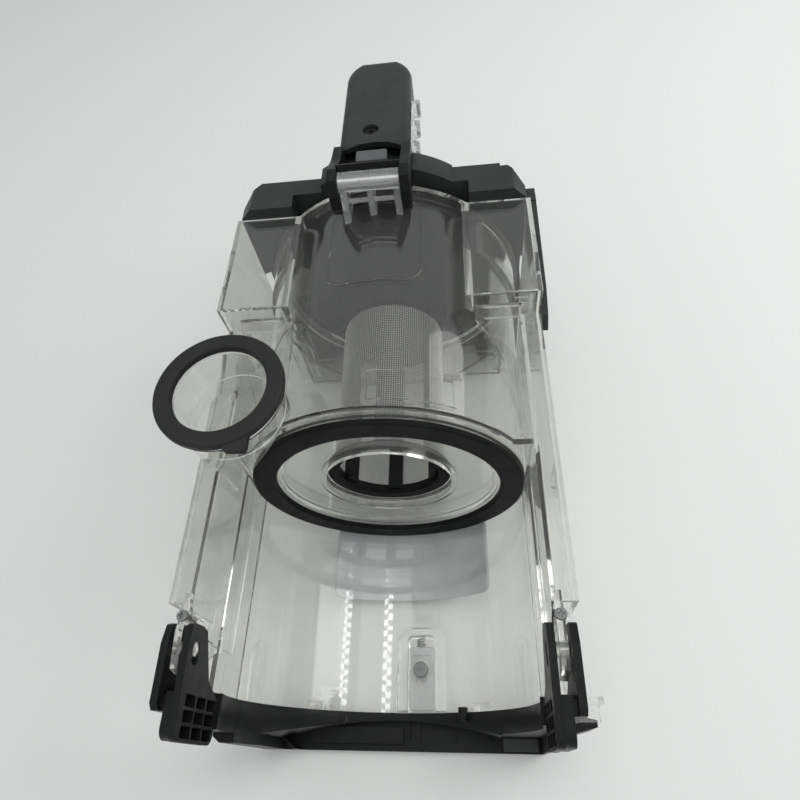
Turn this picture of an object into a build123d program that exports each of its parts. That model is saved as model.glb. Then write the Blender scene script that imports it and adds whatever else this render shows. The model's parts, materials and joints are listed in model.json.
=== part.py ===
from build123d import *
import os

# Clear dust bin of a canister vacuum cleaner, lying on its back.
# Everything is drawn in the chamber frame: origin at the centre of the outlet gasket's face,
# X to the right, Y along the chamber axis towards the handle, Z up. save() moves each part
# to the row frame, whose origin is on the floor under the middle of the bin's box.

os.makedirs("parts", exist_ok=True)

# ---------------------------------------------------------------- driving dimensions (mm)
AXIS_HEIGHT = 70.5            # chamber axis above the floor
LENGTH_FRONT = 106.0          # gasket face to the front of the hinge arms
LENGTH_BACK = 230.0           # gasket face to the tip of the handle

WALL = 2.0                    # clear moulding wall
CHAMBER_R0 = 63.5             # chamber outer radius at the outlet end
CHAMBER_R1 = 66.0             # chamber outer radius at the lid end
CHAMBER_Y = (6.0, 131.0)
RIM_R = 69.8                  # chamber rim under the lid
FLANGE_R = 67.5               # outlet end flange
GASKET_R = (52.3, 63.0)
OUTLET_R = 30.0
CAGE_R = 26.0
CAGE_START = 14.0
CAGE_END = 92.0
CAGE_RIB = 3.5                # depth of the cage's ribs

TROUGH_R = 65.2               # trough outer radius
TROUGH_FRONT = -88.0
TROUGH_EDGE_Z = 16.0          # height of the trough's side walls
RAIL_X = (64.2, 73.5)         # side rail, inner and outer faces
RAIL_Z = (-12.0, 45.0)
RAIL_FRONT = -62.0            # where the rail stops to clear the hinge arm
CORNER_X = 83.5               # outer edge of the corner tabs, half the bin's width
BOSS_X, BOSS_Y, BOSS_R = 66.9, -66.5, 2.0   # screw boss between the hinge arm's plates
FRAME_Y = 125.0               # near edge of the top frame's wings
SHOULDER_X = 40.0
SHOULDER_Y = 65.0
SHOULDER_TOP = 60.0
SHOULDER_WALL = 3.5

INLET_X, INLET_Y, INLET_TOP = -56.4, 11.3, 77.0
INLET_R = 19.0                # inlet bore, takes the hose cuff
INLET_GASKET_R = 26.0
INLET_GASKET_H = 3.0
CUFF_DEPTH = 20.0             # how far the hose cuff goes in

LATCH_X = -1.7                # centre line of the hinge, button and handle
HINGE_Y, HINGE_Z = 118.0, 83.0
HINGE_BARREL_R = 4.6
HINGE_PIN_R = 1.6
FIT = 0.05                    # radial clearance of a turning pin
GAP = 0.3                     # clearance between moving faces

HUMP_R, HUMP_TOP = 62.0, 77.5   # raised middle of the top frame
FRAME_SCREWS = [(-52, 50), (52, 50), (-56, -52), (56, -52)]

HANDLE_Y = (147.0, LENGTH_BACK)
HANDLE_TOP = 79.0
HANDLE_WIDTH = 36.0
HANDLE_REAR_Z = -30.0
GRIP = 15.0                   # thickness of the handle's bars
HANDLE_SCREW_Y = 163.0

PIVOT_Y, PIVOT_Z = -77.0, 41.0
PIVOT_R = 2.5
ARM_FRONT = -LENGTH_FRONT
ARM_PLATE = 2.6
ARM_ROUND = 4.0               # rounding of the block's front corners
ARM_INNER_X = 61.3            # inner face of the inner plate
ARM_OUTER_X = 71.6            # outer face of the outer plate
SADDLE_R = 61.5
SADDLE_HALF = 70.0
SADDLE_BACK = TROUGH_FRONT - GAP
SADDLE_TOP = 13.5
BASE_FRONT = -104.0
FLOOR_Z = -AXIS_HEIGHT
FRAME_FOOT = FLOOR_Z + 0.5    # underside of the swinging frame

CATCH_X = (-1.5, 22.5)        # slide catch in the trough floor
CATCH_Y = (-87.5, -49.5)
CATCH_BORDER = 5.2            # width of the tray's side walls
CATCH_POST = (9.9, -69.1)     # centre of the post that the slider's screw goes into

ROW = Pos(0, (LENGTH_FRONT - LENGTH_BACK) / 2, AXIS_HEIGHT)


# ---------------------------------------------------------------- helpers
def block(x, y, z):
    """Box between (low, high) pairs."""
    spans = (x, y, z)
    centre = [(low + high) / 2 for low, high in spans]
    return Pos(*centre) * Box(*[abs(high - low) for low, high in spans])


def turned(*profile):
    """Solid turned about the chamber axis from (radius, y) points."""
    return revolve(make_face(Polyline(*profile, close=True)), Axis.Y)


def rod_x(radius, x, y, z):
    return Pos((x[0] + x[1]) / 2, y, z) * Rot(0, 90, 0) * Cylinder(radius, x[1] - x[0])


def rod_y(radius, x, y, z):
    return Pos(x, (y[0] + y[1]) / 2, z) * Rot(90, 0, 0) * Cylinder(radius, y[1] - y[0])


def rod_z(radius, x, y, z):
    return Pos(x, y, (z[0] + z[1]) / 2) * Cylinder(radius, z[1] - z[0])


def plate_x(points, x):
    """Plate of (y, z) outline between two x faces."""
    face = Plane.YZ * make_face(Polyline(*points, close=True))
    return Pos(x[0], 0, 0) * extrude(face, x[1] - x[0])


def plate_y(points, y):
    """Plate of (x, z) outline between two y faces."""
    face = Plane.XZ * make_face(Polyline(*points, close=True))
    return Pos(0, y[1], 0) * extrude(face, y[1] - y[0])


def plate_z(points, z):
    face = make_face(Polyline(*points, close=True))
    return Pos(0, 0, z[0]) * extrude(face, z[1] - z[0])


def slab(x, y, z, radius):
    """Box whose upright edges are rounded."""
    body = block(x, y, z)
    return fillet(body.edges().filter_by(Axis.Z), radius)


def pair(part):
    """A right-hand piece and its mirror image."""
    return part + mirror(part, Plane.YZ)


def left(part):
    return mirror(part, Plane.YZ)


def coil(wire_r, coil_r, pitch, height):
    """Helical spring standing on the XY plane."""
    path = Helix(pitch, height, coil_r)
    section = Plane(origin=path @ 0, z_dir=path % 0) * Circle(wire_r)
    return sweep(section, path)


def screw(head_r, head_h, shank_r, shank_h):
    """Pan-head screw, head up, the head's underside on the XY plane, cross recess on top."""
    head = Pos(0, 0, head_h / 2) * Cylinder(head_r, head_h)
    head = fillet(head.edges().group_by(Axis.Z)[-1], head_h * 0.4)
    recess = Pos(0, 0, head_h) * (Box(head_r * 1.1, 0.7, head_h) + Box(0.7, head_r * 1.1, head_h))
    return head - recess + Pos(0, 0, -shank_h / 2) * Cylinder(shank_r, shank_h)


def save(name, part):
    export_step(ROW * part, f"parts/{name}.step")


def cone_r(y):
    """Chamber outer radius at station y."""
    t = (y - CHAMBER_Y[0]) / (CHAMBER_Y[1] - CHAMBER_Y[0])
    return CHAMBER_R0 + t * (CHAMBER_R1 - CHAMBER_R0)


def cone(y, grow=0.0):
    """Solid cone of the chamber's outside between two stations, grown outwards."""
    return turned((0, y[0]), (cone_r(y[0]) + grow, y[0]), (cone_r(y[1]) + grow, y[1]), (0, y[1]))


def catch_outline(z):
    """Outline of the slide catch's tray, rounded at its far end."""
    body = block(CATCH_X, CATCH_Y, z)
    return fillet(body.edges().filter_by(Axis.Z).group_by(Axis.Y)[-1], 7)


# ---------------------------------------------------------------- clear mouldings
def inlet_bore():
    """The hose cuff's bore, from its seat up through the gasket."""
    return rod_z(INLET_R, INLET_X, INLET_Y, (INLET_TOP - CUFF_DEPTH, INLET_TOP + 1))


def inlet_passage(low):
    """The wider way below the cuff's seat."""
    return rod_z(INLET_R + 1.2, INLET_X, INLET_Y, (low, INLET_TOP - CUFF_DEPTH))


def chamber_tube():
    y0, y1 = CHAMBER_Y
    tube = cone(CHAMBER_Y)
    # pad that carries the hinge knuckle, following the chamber's curve
    pad_area = slab((LATCH_X - 22.3, LATCH_X + 22.7), (73, 124.5), (20, 90), 9)
    tube += cone((73, 124.5), 1.0) & pad_area
    # slightly raised window beside the outlet
    tube += cone((11, 24.5), 0.7) & slab((-1, 34.5), (10, 24.5), (45, 80), 1.2)
    # rim under the lid, kept clear of the floor
    tube += turned((60, y1 - 3), (RIM_R, y1 - 3), (RIM_R, y1), (60, y1))
    inside = turned((0, y0 - 1), (cone_r(y0) - WALL, y0 - 1), (cone_r(y1) - WALL, y1 + 1), (0, y1 + 1))
    port = inlet_passage(20) & block((-59.8, -30), (9, 40), (20, 80))
    return tube - inside - port


def chamber_end_plate():
    plate = turned((OUTLET_R, 4), (OUTLET_R + 2.5, 4), (OUTLET_R + 2.5, 7), (50, 7), (50, 3),
                   (FLANGE_R, 3), (FLANGE_R, 6), (52, 6), (52, 9), (OUTLET_R, 9))
    tab = block((55, RAIL_X[0]), (3.2, 5.8), (20, 36))
    return plate + pair(tab)


def trough():
    """Open trough in front of the chamber, half round with upright sides."""
    y0, y1 = TROUGH_FRONT, 3.0
    shell = turned((TROUGH_R - WALL, y0), (TROUGH_R, y0), (TROUGH_R, y1), (TROUGH_R - WALL, y1))
    shell -= block((-80, 80), (y0 - 1, y1 + 1), (0, 80))
    # above the axis the sides stand upright
    shell += pair(block((TROUGH_R - WALL, TROUGH_R), (y0, y1), (-1, TROUGH_EDGE_Z)))
    # small feet that the bin rests on
    foot = block((36, 43), (y0, y0 + 4), (FLOOR_Z, -45)) - turned(
        (0, y0 - 1), (TROUGH_R - 1, y0 - 1), (TROUGH_R - 1, 10), (0, 10))
    return shell + pair(foot)


def side_rail():
    """Right-hand box rail, with the rib that the hinge arm straddles."""
    x0, x1 = RAIL_X
    z0, z1 = RAIL_Z
    y0, y1 = RAIL_FRONT, FRAME_Y
    box_end = SHOULDER_Y + WALL
    # inner wall, curved down to the trough's side at its front end
    rail = plate_x([(box_end, 0), (box_end, z1), (y0 + 1, z1), (y0 - 2.5, z1 - 1.5), (y0 - 6, z1 - 6),
                    (y0 - 8.5, z1 - 14), (y0 - 10, 16), (y0 - 10, 0)], (x0, x0 + WALL))
    rail += block((x0, x1), (y0, box_end), (z1 - WALL, z1))
    rail += block((x1 - WALL, x1), (y0, y1), (z0, z1))
    rail += block((x0, x1), (TROUGH_FRONT, y1), (z0, z0 + WALL))
    # below the arm the rail runs on to the trough's front edge, with its outward corner tab
    rail += block((x1 - WALL, x1), (TROUGH_FRONT, y0 + 1), (z0, 13))
    rail += block((x1 - 1, CORNER_X), (-95, TROUGH_FRONT + 0.5), (-6, -4))
    rail += block((x1 - WALL, CORNER_X), (-90, TROUGH_FRONT + 0.5), (-12, 8))
    # rib between the arm's two plates
    rib = plate_x([(-58, 12), (-58, 44), (-72, 46.5), (-84, 45), (-86, 36), (-80, 26), (-74, 12)],
                  (65.2, 68.0))
    boss = rod_z(BOSS_R, BOSS_X, BOSS_Y, (30, z1))
    rail += rib + boss
    return rail - rod_z(1.0, BOSS_X, BOSS_Y, (37, z1 + 1)) - rod_z(2.2, BOSS_X, BOSS_Y, (z1, z1 + 3))


def shoulder():
    """Right-hand box that squares the chamber off under the top frame."""
    x0, x1 = SHOULDER_X, RAIL_X[1]
    y0, y1 = SHOULDER_Y, FRAME_Y
    z0, z1 = RAIL_Z[1] - WALL, SHOULDER_TOP
    box = block((x0, x1), (y0, y1), (z1 - WALL, z1))
    box += block((x0, x0 + SHOULDER_WALL), (y0, y1), (z0, z1))
    box += block((x1 - WALL, x1), (y0, y1), (z0, z1))
    box += block((x0, x1), (y0, y0 + WALL), (z0, z1))
    # sloping web from the shoulder down to the rail
    web = plate_x([(65, 53), (66.8, 53), (27, 2), (25.2, 2)], (44, RAIL_X[0] + 0.5))
    return box + web


def bin_shell():
    shell = trough() + pair(side_rail() + shoulder())
    # collar round the chamber under the top frame, and its flat foot
    collar = cone((104, FRAME_Y), 2.2) & block((-75, 75), (90, 140), (-70, 46))
    foot = block((-34, 34), (106, FRAME_Y), (FLOOR_Z, -60))
    corner = block((40, 66), (108, FRAME_Y), (-66, -64)) + block((64, 66), (108, FRAME_Y), (-66, 0))
    web = block((60, 73), (110, 112), (-66, 0))
    shell += collar + foot + pair(corner + web)
    chamber = cone((6, 126)) + turned((0, 3), (FLANGE_R, 3), (FLANGE_R, 6), (0, 6))
    inside = TROUGH_R - WALL
    trough_room = turned((0, TROUGH_FRONT - 1), (inside, TROUGH_FRONT - 1), (inside, 3), (0, 3))
    shell -= chamber + (trough_room & block((-70, 70), (-95, 5), (-70, 17)))
    # pocket for the slide catch and the bolt holes of the pivot pins
    shell -= catch_outline((-80, -40)) + block(CATCH_X, (TROUGH_FRONT - 1, CATCH_Y[0] + 1), (-80, -40))
    shell -= pair(rod_x(PIVOT_R, (60, 75), PIVOT_Y, PIVOT_Z))
    return shell


def inlet_duct():
    low_wall = RAIL_X[0] - 0.2
    seat = INLET_TOP - INLET_GASKET_H
    duct = rod_z(22, INLET_X, INLET_Y, (20, seat)) + rod_z(25, INLET_X, INLET_Y, (seat - 3, seat))
    duct -= block((-90, -low_wall), (-30, 50), (0, RAIL_Z[1] + 0.2))
    duct -= inlet_bore() + inlet_passage(48)
    duct -= inlet_passage(0) & block((-low_wall + 2, -20), (-30, 50), (0, 60))
    duct -= cone((6, 60)) + turned((0, -20), (FLANGE_R + 0.4, -20), (FLANGE_R + 0.4, 6), (0, 6))
    duct -= block((-66, -54.6), (2.8, 6.2), (19.6, 36.4))
    return max(duct.solids(), key=lambda solid: solid.volume)


def hinge_knuckle():
    """Clear barrel on three ribs that the lid turns on."""
    half = 14.0
    span = (LATCH_X - half, LATCH_X + half)
    knuckle = rod_x(HINGE_BARREL_R, span, HINGE_Y, HINGE_Z)
    for middle in (span[0] + 1.5, LATCH_X, span[1] - 1.5):
        front = 110.5 if middle < -10 else 113.0
        leg = plate_x([(front, 64), (123, 64), (121, 80), (120, HINGE_Z), (115.5, HINGE_Z)],
                      (middle - 1.5, middle + 1.5))
        knuckle += leg
    knuckle += rod_x(1.1, span, 116, 74)
    knuckle -= cone((100, 130), 1.0)
    return knuckle - rod_x(HINGE_PIN_R + FIT, (span[0] - 1, span[1] + 1), HINGE_Y, HINGE_Z)


# ---------------------------------------------------------------- seals and cage
def chamber_gasket():
    inner, outer = GASKET_R
    ring = turned((inner, 0), (outer, 0), (outer, 2.6), (inner, 2.6))
    ring = fillet(ring.edges().group_by(Axis.Y)[0], 0.9)
    # bead that grips the end plate
    return ring + turned((inner + 3, 2.6), (inner + 6, 2.6), (inner + 6, 3), (inner + 3, 3))


def inlet_gasket():
    base = INLET_TOP - INLET_GASKET_H
    ring = rod_z(INLET_GASKET_R, INLET_X, INLET_Y, (base, INLET_TOP))
    ring -= inlet_bore()
    ring = fillet(ring.edges().group_by(Axis.Z)[-1], 1.2)
    tab = slab((-50, -41), (-16.4, -8), (base, base + 2.2), 1.8)
    return ring + (tab - rod_z(INLET_R + 3, INLET_X, INLET_Y, (60, 90)))


def cage_frame():
    """Black frame of the outlet cage: base ring, six ribs and an end ring."""
    inner = CAGE_R - CAGE_RIB
    ring_in = CAGE_R - 1.5
    frame = turned((ring_in, 11), (OUTLET_R - 0.5, 11), (OUTLET_R - 0.5, 12.5), (CAGE_R, CAGE_START),
                   (ring_in, CAGE_START))
    frame += turned((inner, CAGE_END - 4), (CAGE_R, CAGE_END - 4), (CAGE_R, CAGE_END), (inner, CAGE_END))
    rib = block((-3.6, 3.6), (11.5, CAGE_END - 2), (inner, CAGE_R - 0.3))
    for step in range(6):
        frame += Rot(0, step * 60, 0) * rib
    return frame


def cage_mesh():
    """Thin slotted sleeve round the ribs."""
    outer = CAGE_R + 0.6
    y0, y1 = CAGE_START + 0.2, CAGE_END - 0.5
    sleeve = turned((CAGE_R, y0), (outer, y0), (outer, y1), (CAGE_R, y1))
    slot = block((-9.5, 9.5), (y0 + 2.5, y1 - 2.5), (0, CAGE_R + 5))
    for step in range(6):
        sleeve -= Rot(0, 30 + step * 60, 0) * slot
    return sleeve


def cage_end_cap():
    return turned((0, CAGE_END), (CAGE_R + 1.5, CAGE_END), (CAGE_R + 0.5, CAGE_END + 3), (14, CAGE_END + 6.5),
                  (0, CAGE_END + 7))


def cage_seal():
    return turned((CAGE_R - 2, 9), (OUTLET_R - 0.5, 9), (OUTLET_R - 0.5, 11), (CAGE_R - 2, 11))


def blank_label():
    """Plain label on the outside of the trough."""
    sheet = turned((TROUGH_R, -35), (TROUGH_R + 0.4, -35), (TROUGH_R + 0.4, -1), (TROUGH_R, -1))
    return sheet & block((-35.5, 46.5), (-40, 5), (-70, 0))


# ---------------------------------------------------------------- lid
def frame_outline(half, top, bottom, bevel):
    return [(-half, bottom + bevel), (-half + bevel, bottom), (half - bevel, bottom), (half, bottom + bevel),
            (half, top - bevel), (half - bevel, top), (-half + bevel, top), (-half, top - bevel)]


def top_frame():
    """Dark collar: flat ring behind the rim, two forward wings, and the raised middle."""
    bottom = FLOOR_Z
    body = plate_y(frame_outline(71.7, 66, bottom, 6), (134, 145))
    body -= block((60, 80), (143, 150), (40, 80))
    hump = rod_y(HUMP_R, 0, (134, 147), HUMP_TOP - HUMP_R) & block((-29, 36.5), (134, 147), (58, 80))
    wing = plate_y([(44, 30), (71.7, 20), (71.7, 60), (65.7, 66), (44, 66)], (FRAME_Y + GAP, 134))
    lower = plate_y([(50, bottom + 6), (56, bottom), (66, bottom), (71.7, bottom + 6), (71.7, 0), (68, 0)],
                    (FRAME_Y + GAP, 134))
    body += hump + pair(wing + lower)
    # far corners run back at a slant, as seen from the front
    cut = plate_z([(72.5, 133), (72.5, 146), (61, 146)], (-90, 90))
    body -= pair(cut)
    body -= rod_y(RIM_R + 1.4, 0, (FRAME_Y - 1, 134), 0)
    body -= rod_y(60, 0, (130, 150), 0)
    # right-hand leg along the shoulder
    leg = plate_x([(128, 30), (128, 58), (74, 52), (62, 47), (58, 41), (62, 37), (76, 36)], (73.9, 76.4))
    leg += block((70, 76.4), (FRAME_Y + GAP, 134), (30, 58))
    # pocket for the hinge bracket and the button
    pocket = block((LATCH_X - 19, LATCH_X + 19), (130, 150), (70.4, 90))
    body += leg - pocket
    for x, z in FRAME_SCREWS:
        body -= rod_y(1.5, x, (136.9, 146), z)
    return body - pocket


def lid_panel():
    """Domed disc that closes the chamber."""
    disc = turned((0, 137), (59.7, 137), (59.7, 145), (0, 145))
    disc -= turned((0, 143.5), (54, 143.5), (54, 147), (0, 147))
    spigot = turned((57.5, 129), (59.7, 129), (59.7, 138), (57.5, 138))
    flange = turned((59, 134 - GAP), (62, 134 - GAP), (62, 134), (59, 134))
    rib = block((-1, 1), (143, 144.8), (-54, 54))
    # boss under the handle's rear leg
    boss_z = (HANDLE_REAR_Z - 3, HANDLE_REAR_Z + GRIP + 3)
    boss = block((LATCH_X - 12, LATCH_X + 12), (143, HANDLE_Y[0]), boss_z)
    return disc + spigot + flange + rib + Rot(0, 90, 0) * rib + boss


def lid_seal():
    return turned((59.7, 131 + GAP), (68, 131 + GAP), (68, 133.7), (59.7, 133.7))


def hinge_bracket():
    """Black bracket in the raised middle: two ears, a saddle behind the barrel, and a back wall."""
    half = 18.9
    ear = plate_x([(112, 80), (114, 87.5), (121, 88.5), (134, 84), (146.8, 82), (146.8, 70.4),
                   (132, 70.4), (124.5, 70), (124, 68), (121, 67), (114.5, 67.7), (112, 72.5)],
                  (LATCH_X + 14.4, LATCH_X + half))
    mirrored = Pos(2 * LATCH_X, 0, 0) * left(ear)
    floor = block((LATCH_X - half, LATCH_X + half), (131, 146.8), (70.4, 72.4))
    # quarter-round saddle that hugs the barrel from behind
    saddle = rod_x(8, (LATCH_X - 14.5, LATCH_X + 14.5), HINGE_Y, HINGE_Z)
    saddle -= rod_x(HINGE_BARREL_R + GAP, (LATCH_X - 20, LATCH_X + 20), HINGE_Y, HINGE_Z)
    saddle &= block((-30, 30), (HINGE_Y + 2.5, 130), (HINGE_Z - 1, 95))
    shelf = block((LATCH_X - 14.5, LATCH_X + 14.5), (124, 131.9), (78, 80))
    post = block((LATCH_X - 14.5, LATCH_X + 14.5), (130.4, 131.9), (70.4, 80))
    bracket = ear + mirrored + floor + saddle + shelf + post
    bracket -= rod_x(HINGE_PIN_R, (-40, 40), HINGE_Y, HINGE_Z)
    # well for the button's spring
    return bracket - rod_z(3.4, LATCH_X, 138, (70.5, 75))


def hinge_pin():
    return rod_x(HINGE_PIN_R, (LATCH_X - 18.9, LATCH_X + 18.9), HINGE_Y, HINGE_Z)


def release_button():
    """Small stepped key with a ribbed front, guided by two feet."""
    cap = slab((LATCH_X - 7.5, LATCH_X + 7.5), (133.5, 141.5), (78.6, 82.6), 1.0)
    cap = fillet(cap.edges().group_by(Axis.Z)[-1], 0.8)
    stem = block((LATCH_X - 6, LATCH_X + 6), (134.5, 141.5), (75.6, 78.8))
    ribs = block((LATCH_X - 7, LATCH_X + 7), (132.6, 133.8), (79, 81))
    ribs += block((LATCH_X - 0.8, LATCH_X + 0.8), (132.2, 134), (75.6, 81))
    return cap + stem + ribs


def button_spring():
    return Pos(LATCH_X, 138, 70.9) * coil(0.35, 2.4, 1.45, 4.35)


def handle_loop():
    """Whole carry loop, before it is split into its two shells."""
    y0, y1 = HANDLE_Y
    z0, z1 = HANDLE_REAR_Z, HANDLE_TOP
    outer = block((-40, 40), (y0 - 20, y1), (z0, z1))
    far_edges = outer.edges().filter_by(Axis.X).group_by(Axis.Y)[-1].sort_by(Axis.Z)
    outer = fillet(far_edges[:1], 26)
    outer = fillet(outer.edges().filter_by(Axis.X).group_by(Axis.Z)[-1].sort_by(Axis.Y)[-1:], 9)
    inner = block((-41, 41), (y0 - 3, y1 - GRIP), (z0 + GRIP, z1 - GRIP - 4))
    inner = fillet(inner.edges().filter_by(Axis.X).group_by(Axis.Y)[-1], 14)
    loop = outer - inner
    half = HANDLE_WIDTH / 2
    outline = make_face(Line((-half, y0), (half, y0)) + Line((half, y0), (half, y1 - half))
                        + ThreePointArc((half, y1 - half), (0, y1), (-half, y1 - half))
                        + Line((-half, y1 - half), (-half, y0)))
    stone = Pos(0, 0, z0 - 1) * extrude(outline, z1 - z0 + 1)
    stone = fillet(stone.edges().group_by(Axis.Z)[-1], 5)
    # the loop narrows behind the front leg
    waist = plate_y([(-half - 1, 80), (-half - 1, 58), (-10, 30), (-8.5, -40), (8.5, -40), (10, 30),
                     (half + 1, 58), (half + 1, 80)], (y0, y1 + 1))
    loop = loop & stone & waist
    return Pos(LATCH_X, 0, 0) * loop


def handle_split(front):
    loop = handle_loop()
    plane_z = 66.0
    if front:
        shell = loop & block((-40, 40), (140, 240), (plane_z, 90))
        # lip over the button's mouth, waved across its width
        lip = plate_z([(-19, 150), (-14, 149), (-7, 151.5), (0, 152.3), (7, 151.5), (14, 149), (19, 150),
                       (19, 140), (-19, 140)], (74.5, 90))
        shell -= Pos(LATCH_X, 0, 0) * lip
        shell -= block((LATCH_X - 13, LATCH_X + 13), (172, 212), (plane_z - 1, 75.5))
        shell -= block((LATCH_X - 15.5, LATCH_X + 15.5), (146, 157), (70, 76))
        shell -= rod_z(4.2, LATCH_X - 2, HANDLE_SCREW_Y, (75.5, 90))
        shell -= rod_z(1.6, LATCH_X - 2, HANDLE_SCREW_Y, (60, 90))
        shell += rod_z(4.0, LATCH_X, 200, (plane_z, 76))
        return shell - rod_z(1.5, LATCH_X, 200, (60, 73))
    shell = loop & block((-40, 40), (140, 240), (-60, plane_z))
    shell -= rod_z(1.5, LATCH_X - 2, HANDLE_SCREW_Y, (52, 67)) + rod_z(1.5, LATCH_X, 200, (52, 67))
    return shell - rod_z(3.5, LATCH_X, 200, (55, 62.4))


def handle_screws():
    visible = Pos(LATCH_X - 2, HANDLE_SCREW_Y, 75.5) * screw(3.9, 2.2, 1.5, 20)
    hidden = Pos(LATCH_X, 200, 62.4) * Rot(180, 0, 0) * screw(3.2, 2.0, 1.5, 9)
    return visible + hidden


def side_strip():
    """Clear toothed strip beside the handle."""
    x0 = LATCH_X + HANDLE_WIDTH / 2 + 0.2
    strip = block((x0, x0 + 1.6), (150, 190), (70, 75))
    for station in (152, 169, 187):
        strip += rod_z(2.3, x0 + 2.3, station, (68.5, 76.5))
    return strip


def frame_screws():
    screws = None
    for x, z in FRAME_SCREWS:
        one = Pos(x, 145, z) * Rot(-90, 0, 0) * screw(3.4, 2.0, 1.5, 8)
        screws = one if screws is None else screws + one
    return screws


# ---------------------------------------------------------------- swinging base frame
def base_frame():
    """Black saddle that closes the trough's front edge."""
    body = block((-SADDLE_HALF, SADDLE_HALF), (BASE_FRONT, SADDLE_BACK), (FRAME_FOOT, SADDLE_TOP))
    body -= rod_y(SADDLE_R, 0, (BASE_FRONT - 5, SADDLE_BACK + 5), 0)
    body -= block((-80, 80), (BASE_FRONT - 1, -100.5), (-8, 40))
    # bowed front: the saddle is thin in the middle and deep at its ends
    left_end, crown, right_end = (-56, -99.5), (-7, -91.8), (47.5, -98.2)
    bow = make_face(ThreePointArc(left_end, crown, right_end) + Polyline(
        right_end, (right_end[0], -112), (left_end[0], -112), left_end))
    body -= Pos(0, 0, FRAME_FOOT + 3.5) * extrude(bow, 60)
    # shelf for the grey pad, right of the bow
    body -= block((47, 65.5), (-112, -97.6), (FRAME_FOOT + 3.5, 20))
    corner = plate_z([(71, BASE_FRONT - 1), (71, -101), (65.5, BASE_FRONT - 1)], (-80, 20))
    body -= pair(corner)
    # step in the middle of the recess
    body += block((-43, 1.5), (-101, -94), (FRAME_FOOT, FRAME_FOOT + 6)) - rod_y(
        SADDLE_R, 0, (-110, -80), 0)
    # ribs in the bowed recess, bumps and the raised line on the saddle
    body += plate_z([(-50, BASE_FRONT), (-48, BASE_FRONT), (-56, -98), (-58, -98)], (FRAME_FOOT, -56))
    for x in (4, 9, 26, 42):
        body += block((x - 0.6, x + 0.6), (-99, -91), (FRAME_FOOT, FRAME_FOOT + 5))
    body += block((-26.6, -25.4), (-93.5, SADDLE_BACK), (-60, -55.9))
    body += rod_y(2.2, 30.3, (-92, -86.3), -52.3)
    # outer gussets
    gusset = plate_z([(69, -100), (83, -96.3), (83, -94), (69, -91)], (-34, -9.5))
    return body + pair(gusset)


def hinge_arm():
    """Right-hand clevis arm: two plates on a ribbed block."""
    low = SADDLE_TOP
    outline = [(-69, 45), (-69.8, 46.5), (-76, 47.5), (-92, 46.5), (ARM_FRONT, 45), (ARM_FRONT, low),
               (-91, low), (-86, 25), (-69.5, 34), (-68.6, 38)]
    outer_outline = [(-69, 45), (-69.8, 46.5), (-76, 48), (-95, 47), (-97, 45), (-97, 17), (-91, 16),
                     (-86, 25), (-69.5, 34), (-68.6, 38)]
    inner = plate_x(outline, (ARM_INNER_X, ARM_INNER_X + ARM_PLATE))
    inner = fillet(inner.edges().filter_by(Axis.X).group_by(Axis.Y)[0], ARM_ROUND)
    outer = plate_x(outer_outline, (ARM_OUTER_X - ARM_PLATE, ARM_OUTER_X))
    body = block((ARM_INNER_X + 1, ARM_OUTER_X - 4), (ARM_FRONT + 0.4, -90.8), (low, 44.2))
    body = fillet(body.edges().filter_by(Axis.X).group_by(Axis.Y)[0], ARM_ROUND)
    body += block((ARM_INNER_X + 1, ARM_OUTER_X - 0.5), (-97, -92), (low, 43.5))
    arm = inner + outer + body
    # three by three pockets facing the trough
    for row in range(3):
        for column in range(3):
            y = ARM_FRONT + 1.2 + row * 4.8
            z = low + 2 + column * 9.2
            arm -= block((ARM_INNER_X - 1, ARM_INNER_X + 5.0), (y, y + 3.8), (z, z + 8.0))
    # slot in the inner plate, bearing hole in the outer plate
    arm -= rod_x(PIVOT_R + FIT, (ARM_INNER_X - 1, ARM_OUTER_X + 1), PIVOT_Y, PIVOT_Z)
    arm -= rod_x(PIVOT_R + FIT, (ARM_INNER_X - 1, ARM_INNER_X + ARM_PLATE + 0.1), PIVOT_Y - 3, PIVOT_Z)
    arm -= block((ARM_INNER_X - 1, ARM_INNER_X + ARM_PLATE + 0.1), (PIVOT_Y - 3, PIVOT_Y),
                 (PIVOT_Z - PIVOT_R - FIT, PIVOT_Z + PIVOT_R + FIT))
    return arm


def pivot_pins():
    return pair(rod_x(PIVOT_R, (ARM_INNER_X + 0.4, ARM_OUTER_X - 0.2), PIVOT_Y, PIVOT_Z))


def rail_screws():
    return pair(Pos(BOSS_X, BOSS_Y, RAIL_Z[1]) * screw(2.1, 1.4, 1.0, 7))


def grey_pad():
    """Grey plate on the shelf at the right end of the base frame's recess."""
    return slab((48.2, 64.2), (-103.2, -97.9), (FRAME_FOOT + 3.5, FRAME_FOOT + 5.5), 0.6)


# ---------------------------------------------------------------- slide catch
def catch_guide():
    """Clear tray set into the trough's floor."""
    x0, x1 = CATCH_X
    y0, y1 = CATCH_Y
    tray = catch_outline((-69, -58.5))
    tray -= slab((x0 + CATCH_BORDER, x1 - CATCH_BORDER), (y0 - 9, y1 - 4), (-66.5, -50), 2.5)
    post = rod_z(2.2, *CATCH_POST, (-66.6, -62.8))
    return tray + post - rod_z(1.2, *CATCH_POST, (-66.6, -62))


def catch_slider():
    x0, x1 = CATCH_X[0] + CATCH_BORDER + 0.4, CATCH_X[1] - CATCH_BORDER - 0.4
    slider = slab((x0, x1), (-86.8, -58.5), (-66.2, -61.6), 1.5)
    x, y = CATCH_POST
    groove = rod_z(2.6, x, y, (-70, -60)) + rod_z(2.6, x, y - 4.2, (-70, -60))
    slider -= groove + block((x - 2.6, x + 2.6), (y - 4.2, y), (-70, -60))
    return slider + block((x0 + 1.5, x1 - 1.5), (-62.5, -60.5), (-61.8, -60.2))


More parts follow.
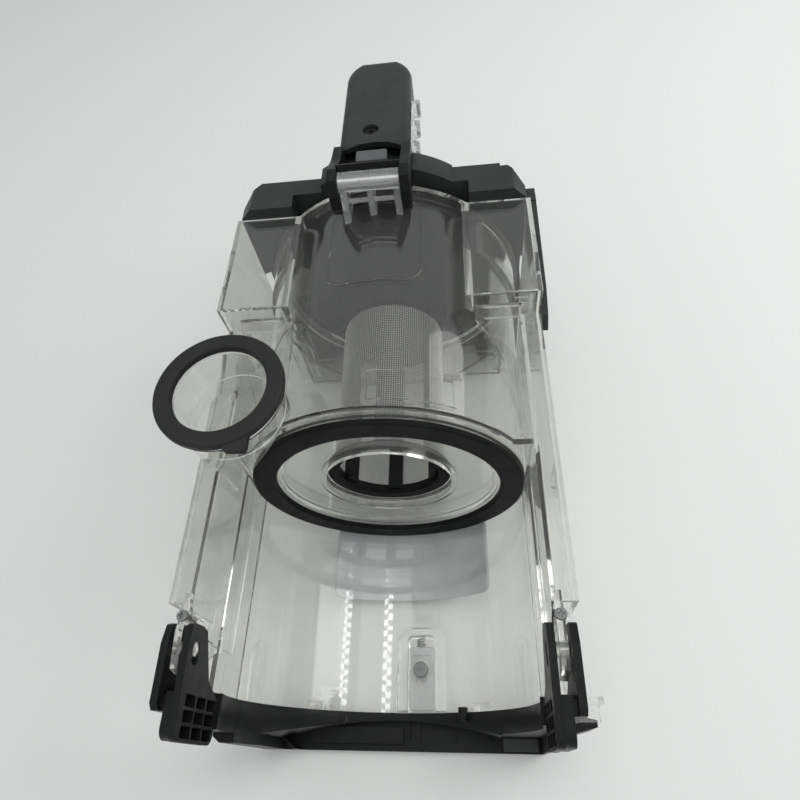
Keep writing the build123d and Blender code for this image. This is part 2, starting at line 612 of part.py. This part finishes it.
def catch_screw():
    return Pos(*CATCH_POST, -61.4) * screw(3.6, 1.6, 1.15, 4.6)


def catch_spring():
    return Pos(CATCH_POST[0], -58.1, -64) * Rot(-90, 0, 0) * coil(0.35, 1.7, 1.3, 3.9)


# ---------------------------------------------------------------- write the parts
NODES = {
    "bin_shell": bin_shell,
    "chamber_tube": chamber_tube,
    "chamber_end_plate": chamber_end_plate,
    "chamber_gasket": chamber_gasket,
    "inlet_duct": inlet_duct,
    "inlet_gasket": inlet_gasket,
    "hinge_knuckle": hinge_knuckle,
    "cage_frame": cage_frame,
    "cage_mesh": cage_mesh,
    "cage_end_cap": cage_end_cap,
    "cage_seal": cage_seal,
    "blank_label": blank_label,
    "pivot_pins": pivot_pins,
    "rail_screws": rail_screws,
    "catch_guide": catch_guide,
    "catch_slider": catch_slider,
    "catch_screw": catch_screw,
    "catch_spring": catch_spring,
    "top_frame": top_frame,
    "lid_panel": lid_panel,
    "lid_seal": lid_seal,
    "hinge_bracket": hinge_bracket,
    "hinge_pin": hinge_pin,
    "release_button": release_button,
    "button_spring": button_spring,
    "handle_front_shell": lambda: handle_split(True),
    "handle_rear_shell": lambda: handle_split(False),
    "handle_screws": handle_screws,
    "side_strip": side_strip,
    "frame_screws": frame_screws,
    "base_frame": base_frame,
    "hinge_arm_right": hinge_arm,
    "hinge_arm_left": lambda: left(hinge_arm()),
    "grey_pad": grey_pad,
}

for node, make in NODES.items():
    save(node, make())
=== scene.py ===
"""Looks of a clear dust bin that lies on its back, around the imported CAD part.

Everything is in metres in the part's own frame: +Z up, +Y from the open trough to the carry
handle, +X to the right. Places of the detail pieces come from the CAD nodes' boxes.
"""

import json
import math

import bmesh
import bpy
from mathutils import Matrix, Vector

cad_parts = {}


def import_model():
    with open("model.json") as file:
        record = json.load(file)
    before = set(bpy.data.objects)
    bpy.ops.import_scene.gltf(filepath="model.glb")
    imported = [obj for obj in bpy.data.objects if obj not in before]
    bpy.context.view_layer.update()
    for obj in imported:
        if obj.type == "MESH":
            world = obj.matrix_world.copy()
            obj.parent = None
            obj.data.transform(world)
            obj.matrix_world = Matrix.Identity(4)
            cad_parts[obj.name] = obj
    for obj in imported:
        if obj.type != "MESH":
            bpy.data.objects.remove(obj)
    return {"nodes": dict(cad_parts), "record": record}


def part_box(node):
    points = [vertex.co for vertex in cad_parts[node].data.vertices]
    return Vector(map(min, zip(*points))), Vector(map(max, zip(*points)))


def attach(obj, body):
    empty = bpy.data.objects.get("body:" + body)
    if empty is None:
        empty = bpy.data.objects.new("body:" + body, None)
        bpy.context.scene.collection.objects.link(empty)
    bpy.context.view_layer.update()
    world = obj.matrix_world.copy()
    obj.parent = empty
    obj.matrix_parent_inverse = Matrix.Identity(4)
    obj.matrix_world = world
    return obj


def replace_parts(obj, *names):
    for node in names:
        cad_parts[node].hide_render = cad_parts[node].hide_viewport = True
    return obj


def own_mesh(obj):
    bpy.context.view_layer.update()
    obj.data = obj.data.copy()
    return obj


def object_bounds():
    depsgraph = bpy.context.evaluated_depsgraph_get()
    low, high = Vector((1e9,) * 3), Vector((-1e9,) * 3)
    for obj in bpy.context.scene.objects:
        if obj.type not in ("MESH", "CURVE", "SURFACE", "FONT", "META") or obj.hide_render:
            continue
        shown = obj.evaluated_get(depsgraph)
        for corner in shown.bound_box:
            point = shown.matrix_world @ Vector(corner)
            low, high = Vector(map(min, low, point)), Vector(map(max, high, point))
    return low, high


MM = 0.001

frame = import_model()
nodes = frame["nodes"]
cad_low, cad_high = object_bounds()


# ------------------------------------------------------------------ node helpers
def new_material(name):
    """Empty node material; returns (material, node tree, output node)."""
    mat = bpy.data.materials.new(name)
    mat.use_nodes = True
    tree = mat.node_tree
    tree.nodes.clear()
    output = tree.nodes.new("ShaderNodeOutputMaterial")
    return mat, tree, output


def principled(tree, **sockets):
    """Principled shader whose named sockets hold plain values."""
    shader = tree.nodes.new("ShaderNodeBsdfPrincipled")
    for name, value in sockets.items():
        shader.inputs[name.replace("_", " ")].default_value = value
    return shader


def object_coordinates(tree, stretch=(1, 1, 1)):
    """Object coordinates, scaled by stretch along each axis."""
    source = tree.nodes.new("ShaderNodeTexCoord")
    mapping = tree.nodes.new("ShaderNodeMapping")
    mapping.inputs["Scale"].default_value = stretch
    tree.links.new(source.outputs["Object"], mapping.inputs["Vector"])
    return mapping.outputs["Vector"]


def noise(tree, vector, size, detail=2.0):
    """Noise whose blotches are about size metres across."""
    texture = tree.nodes.new("ShaderNodeTexNoise")
    texture.inputs["Scale"].default_value = 1 / size
    texture.inputs["Detail"].default_value = detail
    tree.links.new(vector, texture.inputs["Vector"])
    return texture.outputs["Fac"]


def spread(tree, value, low, high, from_low=0.3, from_high=0.7):
    """Maps a noise value onto the range low to high."""
    node = tree.nodes.new("ShaderNodeMapRange")
    node.inputs["From Min"].default_value = from_low
    node.inputs["From Max"].default_value = from_high
    node.inputs["To Min"].default_value = low
    node.inputs["To Max"].default_value = high
    tree.links.new(value, node.inputs["Value"])
    return node.outputs["Result"]


def two_tones(tree, value, dark, light):
    """Colour between dark and light, chosen by value."""
    ramp = tree.nodes.new("ShaderNodeValToRGB")
    ramp.color_ramp.elements[0].position, ramp.color_ramp.elements[1].position = 0.3, 0.7
    ramp.color_ramp.elements[0].color = (*dark, 1)
    ramp.color_ramp.elements[1].color = (*light, 1)
    tree.links.new(value, ramp.inputs["Fac"])
    return ramp.outputs["Color"]


def bumped(tree, height, depth, normal=None):
    """Bump of the given depth in metres, on top of another normal if there is one."""
    bump = tree.nodes.new("ShaderNodeBump")
    bump.inputs["Distance"].default_value = depth
    tree.links.new(height, bump.inputs["Height"])
    if normal is not None:
        tree.links.new(normal, bump.inputs["Normal"])
    return bump.outputs["Normal"]


def shade(colour, factor):
    return tuple(min(1.0, channel * factor) for channel in colour)


# ------------------------------------------------------------------ materials
def moulded(name, colour, roughness, grain=0.35 * MM, depth=0.03 * MM, variation=0.12, **extra):
    """Moulded plastic or rubber: fine grain, slow changes of tone and gloss."""
    mat, tree, output = new_material(name)
    shader = principled(tree, **extra)
    place = object_coordinates(tree)
    tone = noise(tree, place, 18 * MM, 3)
    colour_out = two_tones(tree, tone, shade(colour, 1 - variation), shade(colour, 1 + variation))
    rough = spread(tree, noise(tree, place, 5 * MM, 4), roughness - 0.05, roughness + 0.06)
    fine = noise(tree, place, grain, 2)
    soft = noise(tree, place, 12 * MM, 1)
    normal = bumped(tree, fine, depth, bumped(tree, soft, depth * 4))
    tree.links.new(colour_out, shader.inputs["Base Color"])
    tree.links.new(rough, shader.inputs["Roughness"])
    tree.links.new(normal, shader.inputs["Normal"])
    tree.links.new(shader.outputs["BSDF"], output.inputs["Surface"])
    return mat


def clear(name, colour, roughness, haze=0.015, passed=0.84, wave=0.02 * MM):
    """Clear moulded plastic with a trace of haze, smudges in its gloss and slightly wavy walls.
    Lamps shine through it: each surface lets passed of their light by, so its shadow is faint."""
    mat, tree, output = new_material(name)
    shader = principled(tree, IOR=1.55, Transmission_Weight=1 - haze)
    place = object_coordinates(tree)
    smudges = noise(tree, place, 9 * MM, 4)
    tree.links.new(two_tones(tree, smudges, shade(colour, 0.97), colour), shader.inputs["Base Color"])
    tree.links.new(spread(tree, smudges, roughness, roughness * 2 + 0.02), shader.inputs["Roughness"])
    tree.links.new(bumped(tree, noise(tree, place, 14 * MM, 1), wave), shader.inputs["Normal"])
    through = tree.nodes.new("ShaderNodeBsdfTransparent")
    through.inputs["Color"].default_value = (passed, passed, passed, 1)
    path = tree.nodes.new("ShaderNodeLightPath")
    mix = tree.nodes.new("ShaderNodeMixShader")
    tree.links.new(path.outputs["Is Shadow Ray"], mix.inputs["Fac"])
    tree.links.new(shader.outputs["BSDF"], mix.inputs[1])
    tree.links.new(through.outputs["BSDF"], mix.inputs[2])
    tree.links.new(mix.outputs["Shader"], output.inputs["Surface"])
    return mat


def metal(name, colour, roughness, stretch=(1, 1, 1)):
    """Drawn or turned metal with fine marks."""
    mat, tree, output = new_material(name)
    shader = principled(tree, Metallic=1.0)
    place = object_coordinates(tree, stretch)
    marks = noise(tree, place, 0.5 * MM, 3)
    tree.links.new(two_tones(tree, marks, shade(colour, 0.8), colour), shader.inputs["Base Color"])
    tree.links.new(spread(tree, marks, roughness - 0.08, roughness + 0.12), shader.inputs["Roughness"])
    tree.links.new(bumped(tree, marks, 0.01 * MM), shader.inputs["Normal"])
    tree.links.new(shader.outputs["BSDF"], output.inputs["Surface"])
    return mat


SLOTS = {
    "clear_plastic": clear("clear_plastic", (0.885, 0.889, 0.868), 0.01),
    "frosted_plastic": clear("frosted_plastic", (0.93, 0.94, 0.935), 0.14, haze=0.12, passed=0.75),
    "smoke_plastic": clear("smoke_plastic", (0.66, 0.67, 0.665), 0.12, haze=0.12, passed=0.7),
    "black_rubber": moulded("black_rubber", (0.0065, 0.007, 0.007), 0.55, variation=0.25,
                            Specular_IOR_Level=0.18),
    "grey_rubber": moulded("grey_rubber", (0.02, 0.021, 0.02), 0.52, variation=0.15,
                           Specular_IOR_Level=0.25),
    "black_plastic": moulded("black_plastic", (0.0075, 0.008, 0.0083), 0.4, Specular_IOR_Level=0.25),
    "charcoal_plastic": moulded("charcoal_plastic", (0.028, 0.0325, 0.031), 0.42, grain=0.5 * MM,
                                depth=0.05 * MM, Specular_IOR_Level=0.3),
    "button_grey": moulded("button_grey", (0.08, 0.088, 0.087), 0.45),
    "pad_grey": moulded("pad_grey", (0.045, 0.048, 0.047), 0.5),
    "label_grey": moulded("label_grey", (0.52, 0.57, 0.58), 0.55, variation=0.05),
    "mesh_steel": metal("mesh_steel", (0.8, 0.8, 0.78), 0.45),
    "spring_steel": metal("spring_steel", (0.58, 0.58, 0.57), 0.3, stretch=(4, 1, 4)),
    "zinc_grey": metal("zinc_grey", (0.42, 0.43, 0.42), 0.5),
    "dark_screw": metal("dark_screw", (0.05, 0.05, 0.05), 0.4),
}

node_slot = {part["node"]: part["material_slot"] for part in frame["record"]["subparts"]}


# ------------------------------------------------------------------ finish of the CAD nodes
# width of the rounded edges in millimetres
SOFT_EDGE = {"top_frame": 0.7, "handle_front_shell": 0.8, "handle_rear_shell": 0.8,
             "base_frame": 0.6, "hinge_arm_right": 0.4, "hinge_arm_left": 0.4,
             "hinge_bracket": 0.35, "release_button": 0.2, "grey_pad": 0.2, "lid_panel": 0.4,
             "cage_end_cap": 0.4}
SAME_POINT = 0.002 * MM            # vertices closer than this are one
SHARP = math.radians(32)           # edges that turn more than this are rounded


def round_edges(obj, width):
    """Rounds a CAD node's sharp edges on screen, without touching its mesh."""
    weld = obj.modifiers.new("weld", "WELD")
    weld.merge_threshold = SAME_POINT
    bevel = obj.modifiers.new("bevel", "BEVEL")
    bevel.width = width
    bevel.segments = 2
    bevel.limit_method = "ANGLE"
    bevel.angle_limit = SHARP
    bevel.use_clamp_overlap = True
    bevel.harden_normals = True


for name, node in nodes.items():
    node.data.materials.clear()
    node.data.materials.append(SLOTS[node_slot[name]])
    if name in SOFT_EDGE:
        round_edges(node, SOFT_EDGE[name] * MM)


# ------------------------------------------------------------------ detail pieces
def piece(name, mesh, body, slot):
    """Adds a finished mesh as a piece that rides on a body."""
    obj = bpy.data.objects.new(name, mesh)
    bpy.context.scene.collection.objects.link(obj)
    mesh.materials.append(SLOTS[slot])
    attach(obj, body)
    return obj


def wire_net(axis, radius, y_span, wire, pitch):
    """Woven net round the Y axis through axis (x, z): hoops and straight wires over and under."""
    third = 2 * math.pi / 3
    around = 2 * round(math.pi * radius / pitch)
    rows = 2 * round((y_span[1] - y_span[0]) / pitch / 2)
    step = (y_span[1] - y_span[0]) / rows
    bm = bmesh.new()

    def strand(points, closed):
        """Three-sided wire through the points, joined end to end if closed."""
        rings = []
        for index, point in enumerate(points):
            if closed:
                ahead = points[(index + 1) % len(points)] - points[index - 1]
            else:
                ahead = points[min(index + 1, len(points) - 1)] - points[max(index - 1, 0)]
            ahead.normalize()
            out = Vector((point.x - axis[0], 0, point.z - axis[1])).normalized()
            side = ahead.cross(out)
            rings.append([bm.verts.new(point + wire * (out * math.cos(a) + side * math.sin(a)))
                          for a in (0, third, 2 * third)])
        count = len(rings) if closed else len(rings) - 1
        for index in range(count):
            here, following = rings[index], rings[(index + 1) % len(rings)]
            for corner in range(3):
                near, far = corner, (corner + 1) % 3
                bm.faces.new((here[near], here[far], following[far], following[near]))

    def at(column, y, lift):
        """Point of the net at a column and station, lifted off its middle radius."""
        angle = 2 * math.pi * column / around
        r = radius + lift
        return Vector((axis[0] + r * math.cos(angle), y, axis[1] + r * math.sin(angle)))

    for column in range(around):
        strand([at(column, y_span[0] + row * step, wire * (1 if (row + column) % 2 else -1))
                for row in range(rows + 1)], closed=False)
    for row in range(1, rows):
        strand([at(column, y_span[0] + row * step, wire * (-1 if (row + column) % 2 else 1))
                for column in range(around)], closed=True)
    mesh = bpy.data.meshes.new("net")
    bm.to_mesh(mesh)
    bm.free()
    for face in mesh.polygons:
        face.use_smooth = True
    return mesh


def curved_sheet(axis, radius, x_span, y_span, corner):
    """Sheet that lies round the underside of the Y axis through axis (x, z), with round corners."""
    columns, corner_rows = 40, 6
    quarter = [corner * (1 - math.cos(math.pi / 2 * step / corner_rows))
               for step in range(corner_rows + 1)]
    depths = [(y_span[0] + depth, depth) for depth in quarter]
    depths += [(y_span[1] - depth, depth) for depth in reversed(quarter)]
    verts = []
    for y, depth in depths:
        inset = corner - math.sqrt(corner ** 2 - (corner - depth) ** 2)
        width = x_span[1] - x_span[0] - 2 * inset
        for column in range(columns + 1):
            x = x_span[0] + inset + width * column / columns
            verts.append((x, y, axis[1] - math.sqrt(radius ** 2 - (x - axis[0]) ** 2)))
    row = columns + 1
    faces = [(row * r + c, row * r + c + 1, row * (r + 1) + c + 1, row * (r + 1) + c)
             for r in range(len(depths) - 1) for c in range(columns)]
    mesh = bpy.data.meshes.new("sheet")
    mesh.from_pydata(verts, [], faces)
    for face in mesh.polygons:
        face.use_smooth = True
    return mesh


# the net covers the whole of the cage's slotted sleeve and stays within its thickness
SLEEVE = 0.6 * MM             # sleeve thickness
WIRE, PITCH = 0.15 * MM, 1.1 * MM
sleeve_low, sleeve_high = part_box("cage_mesh")
chamber_axis = ((sleeve_low.x + sleeve_high.x) / 2, (sleeve_low.z + sleeve_high.z) / 2)
net = wire_net(chamber_axis, (sleeve_high.x - sleeve_low.x - SLEEVE) / 2,
               (sleeve_low.y, sleeve_high.y), wire=WIRE, pitch=PITCH)
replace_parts(piece("cage_net", net, "bin", "mesh_steel"), "cage_mesh")

# the label's film keeps a hair's breadth off the trough and runs on under the outlet's flange
FILM, FILM_GAP, FILM_TUCK = 0.25 * MM, 0.05 * MM, 3.5 * MM
FILM_CORNER = 4 * MM
label_low, label_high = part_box("blank_label")
film_radius = chamber_axis[1] - label_low.z - FILM_GAP
film = curved_sheet(chamber_axis, film_radius, (label_low.x, label_high.x),
                    (label_low.y, label_high.y + FILM_TUCK), FILM_CORNER)
label = piece("label", film, "bin", "label_grey")
thickness = label.modifiers.new("thickness", "SOLIDIFY")
thickness.thickness = FILM
thickness.offset = 1
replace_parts(label, "blank_label")


def spring(node, body):
    """Copy of the spring node's coil, as a piece that rides on a body in place of the node."""
    mesh = nodes[node].data.copy()
    mesh.materials.clear()
    made = piece(node + "_coil", mesh, body, "spring_steel")
    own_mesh(made)
    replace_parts(made, node)


spring("button_spring", "lid")
spring("catch_spring", "bin")


# ------------------------------------------------------------------ floor, light, camera
FLOOR_REACH = 4.0
FLOOR_COLOUR = (0.74, 0.75, 0.735, 1)
SKY_COLOUR = (0.95, 0.975, 0.97, 1)
SKY_LOW, SKY_HIGH = 0.42, 0.6      # strength near the horizon and overhead
LENS, SENSOR = 27.0, 36.0          # millimetres
CAMERA_PLACE = (0.039, -0.1759, 0.3301)
CAMERA_RIGHT, CAMERA_UP = Vector((0.9927, 0.0216, -0.119)), Vector((0.045, 0.847, 0.5297))
STRIP_ROWS = 28                    # bright cells along each strip lamp
LIGHT_BOUNCES = 32                 # light crosses many clear walls here


def floor():
    """Wide pale floor just under the part."""
    mesh = bpy.data.meshes.new("floor")
    reach = FLOOR_REACH
    corners = [(-reach, -reach, 0), (reach, -reach, 0), (reach, reach, 0), (-reach, reach, 0)]
    mesh.from_pydata(corners, [], [(0, 1, 2, 3)])
    obj = bpy.data.objects.new("floor", mesh)
    obj.location.z = cad_low.z - 0.05 * MM
    bpy.context.scene.collection.objects.link(obj)
    mat, tree, output = new_material("floor")
    shader = principled(tree, Base_Color=FLOOR_COLOUR, Roughness=0.6)
    tree.links.new(shader.outputs["BSDF"], output.inputs["Surface"])
    mesh.materials.append(mat)


def area_light(name, place, target, size, power, mirrored=True):
    """Rectangular lamp aimed at target, its second side along Y as far as its aim allows.
    mirrored says whether gloss shows it."""
    data = bpy.data.lights.new(name, "AREA")
    data.shape = "RECTANGLE"
    data.size, data.size_y = size
    data.energy = power
    obj = bpy.data.objects.new(name, data)
    obj.location = place
    obj.rotation_mode = "QUATERNION"
    back = (Vector(place) - Vector(target)).normalized()
    across = Vector((0, 1, 0)).cross(back).normalized()
    obj.rotation_quaternion = Matrix((across, back.cross(across), back)).transposed().to_quaternion()
    obj.visible_glossy = mirrored
    bpy.context.scene.collection.objects.link(obj)
    return data


def cells(lamp):
    """Splits a strip lamp into two staggered columns of small bright cells."""
    lamp.use_nodes = True
    tree = lamp.node_tree
    place = tree.nodes.new("ShaderNodeNewGeometry")
    mapping = tree.nodes.new("ShaderNodeMapping")
    mapping.inputs["Scale"].default_value = (2, STRIP_ROWS, 1)
    checker = tree.nodes.new("ShaderNodeTexChecker")
    checker.inputs["Scale"].default_value = 1
    checker.inputs["Color1"].default_value = (2, 2, 2, 1)
    checker.inputs["Color2"].default_value = (0.15, 0.15, 0.15, 1)
    tree.links.new(place.outputs["Parametric"], mapping.inputs["Vector"])
    tree.links.new(mapping.outputs["Vector"], checker.inputs["Vector"])
    tree.links.new(checker.outputs["Color"], tree.nodes["Emission"].inputs["Color"])


def world():
    """Pale surroundings, a little brighter overhead."""
    made = bpy.data.worlds.new("studio")
    bpy.context.scene.world = made
    made.use_nodes = True
    tree = made.node_tree
    background = tree.nodes["Background"]
    background.inputs["Color"].default_value = SKY_COLOUR
    direction = tree.nodes.new("ShaderNodeTexCoord")
    split = tree.nodes.new("ShaderNodeSeparateXYZ")
    tree.links.new(direction.outputs["Generated"], split.inputs["Vector"])
    strength = spread(tree, split.outputs["Z"], SKY_LOW, SKY_HIGH, from_low=-0.1, from_high=0.9)
    tree.links.new(strength, background.inputs["Strength"])


def camera():
    """Camera above the open trough, looking down the part towards the handle."""
    data = bpy.data.cameras.new("camera")
    data.sensor_width = SENSOR
    data.lens = LENS
    data.clip_start = 0.01
    back = CAMERA_RIGHT.cross(CAMERA_UP)
    turn = Matrix((CAMERA_RIGHT, CAMERA_UP, back)).transposed()
    obj = bpy.data.objects.new("camera", data)
    obj.rotation_mode = "QUATERNION"
    obj.rotation_quaternion = turn.to_quaternion()
    obj.location = CAMERA_PLACE
    bpy.context.scene.collection.objects.link(obj)
    bpy.context.scene.camera = obj


floor()
world()
area_light("ceiling", (0.15, -0.1, 1.5), (0, 0, 0.05), (1.2, 1.2), 7, mirrored=False)
area_light("window", (0.95, 0.35, 0.75), (0, 0, 0.05), (0.6, 0.8), 5, mirrored=False)
# two strip lamps overhead draw the dotted streaks in the trough
cells(area_light("strip_right", (0.98, 0.16, 1.2), (0, 0.1, 0.05), (0.22, 0.36), 0.75))
cells(area_light("strip_middle", (0.1, 0.11, 1.2), (0.1, 0.11, 0), (0.14, 0.34), 0.45))
camera()
bpy.context.scene.view_settings.view_transform = "Standard"
cycles = bpy.context.scene.cycles
cycles.max_bounces = LIGHT_BOUNCES
cycles.transmission_bounces = LIGHT_BOUNCES
cycles.glossy_bounces = LIGHT_BOUNCES
cycles.transparent_max_bounces = LIGHT_BOUNCES
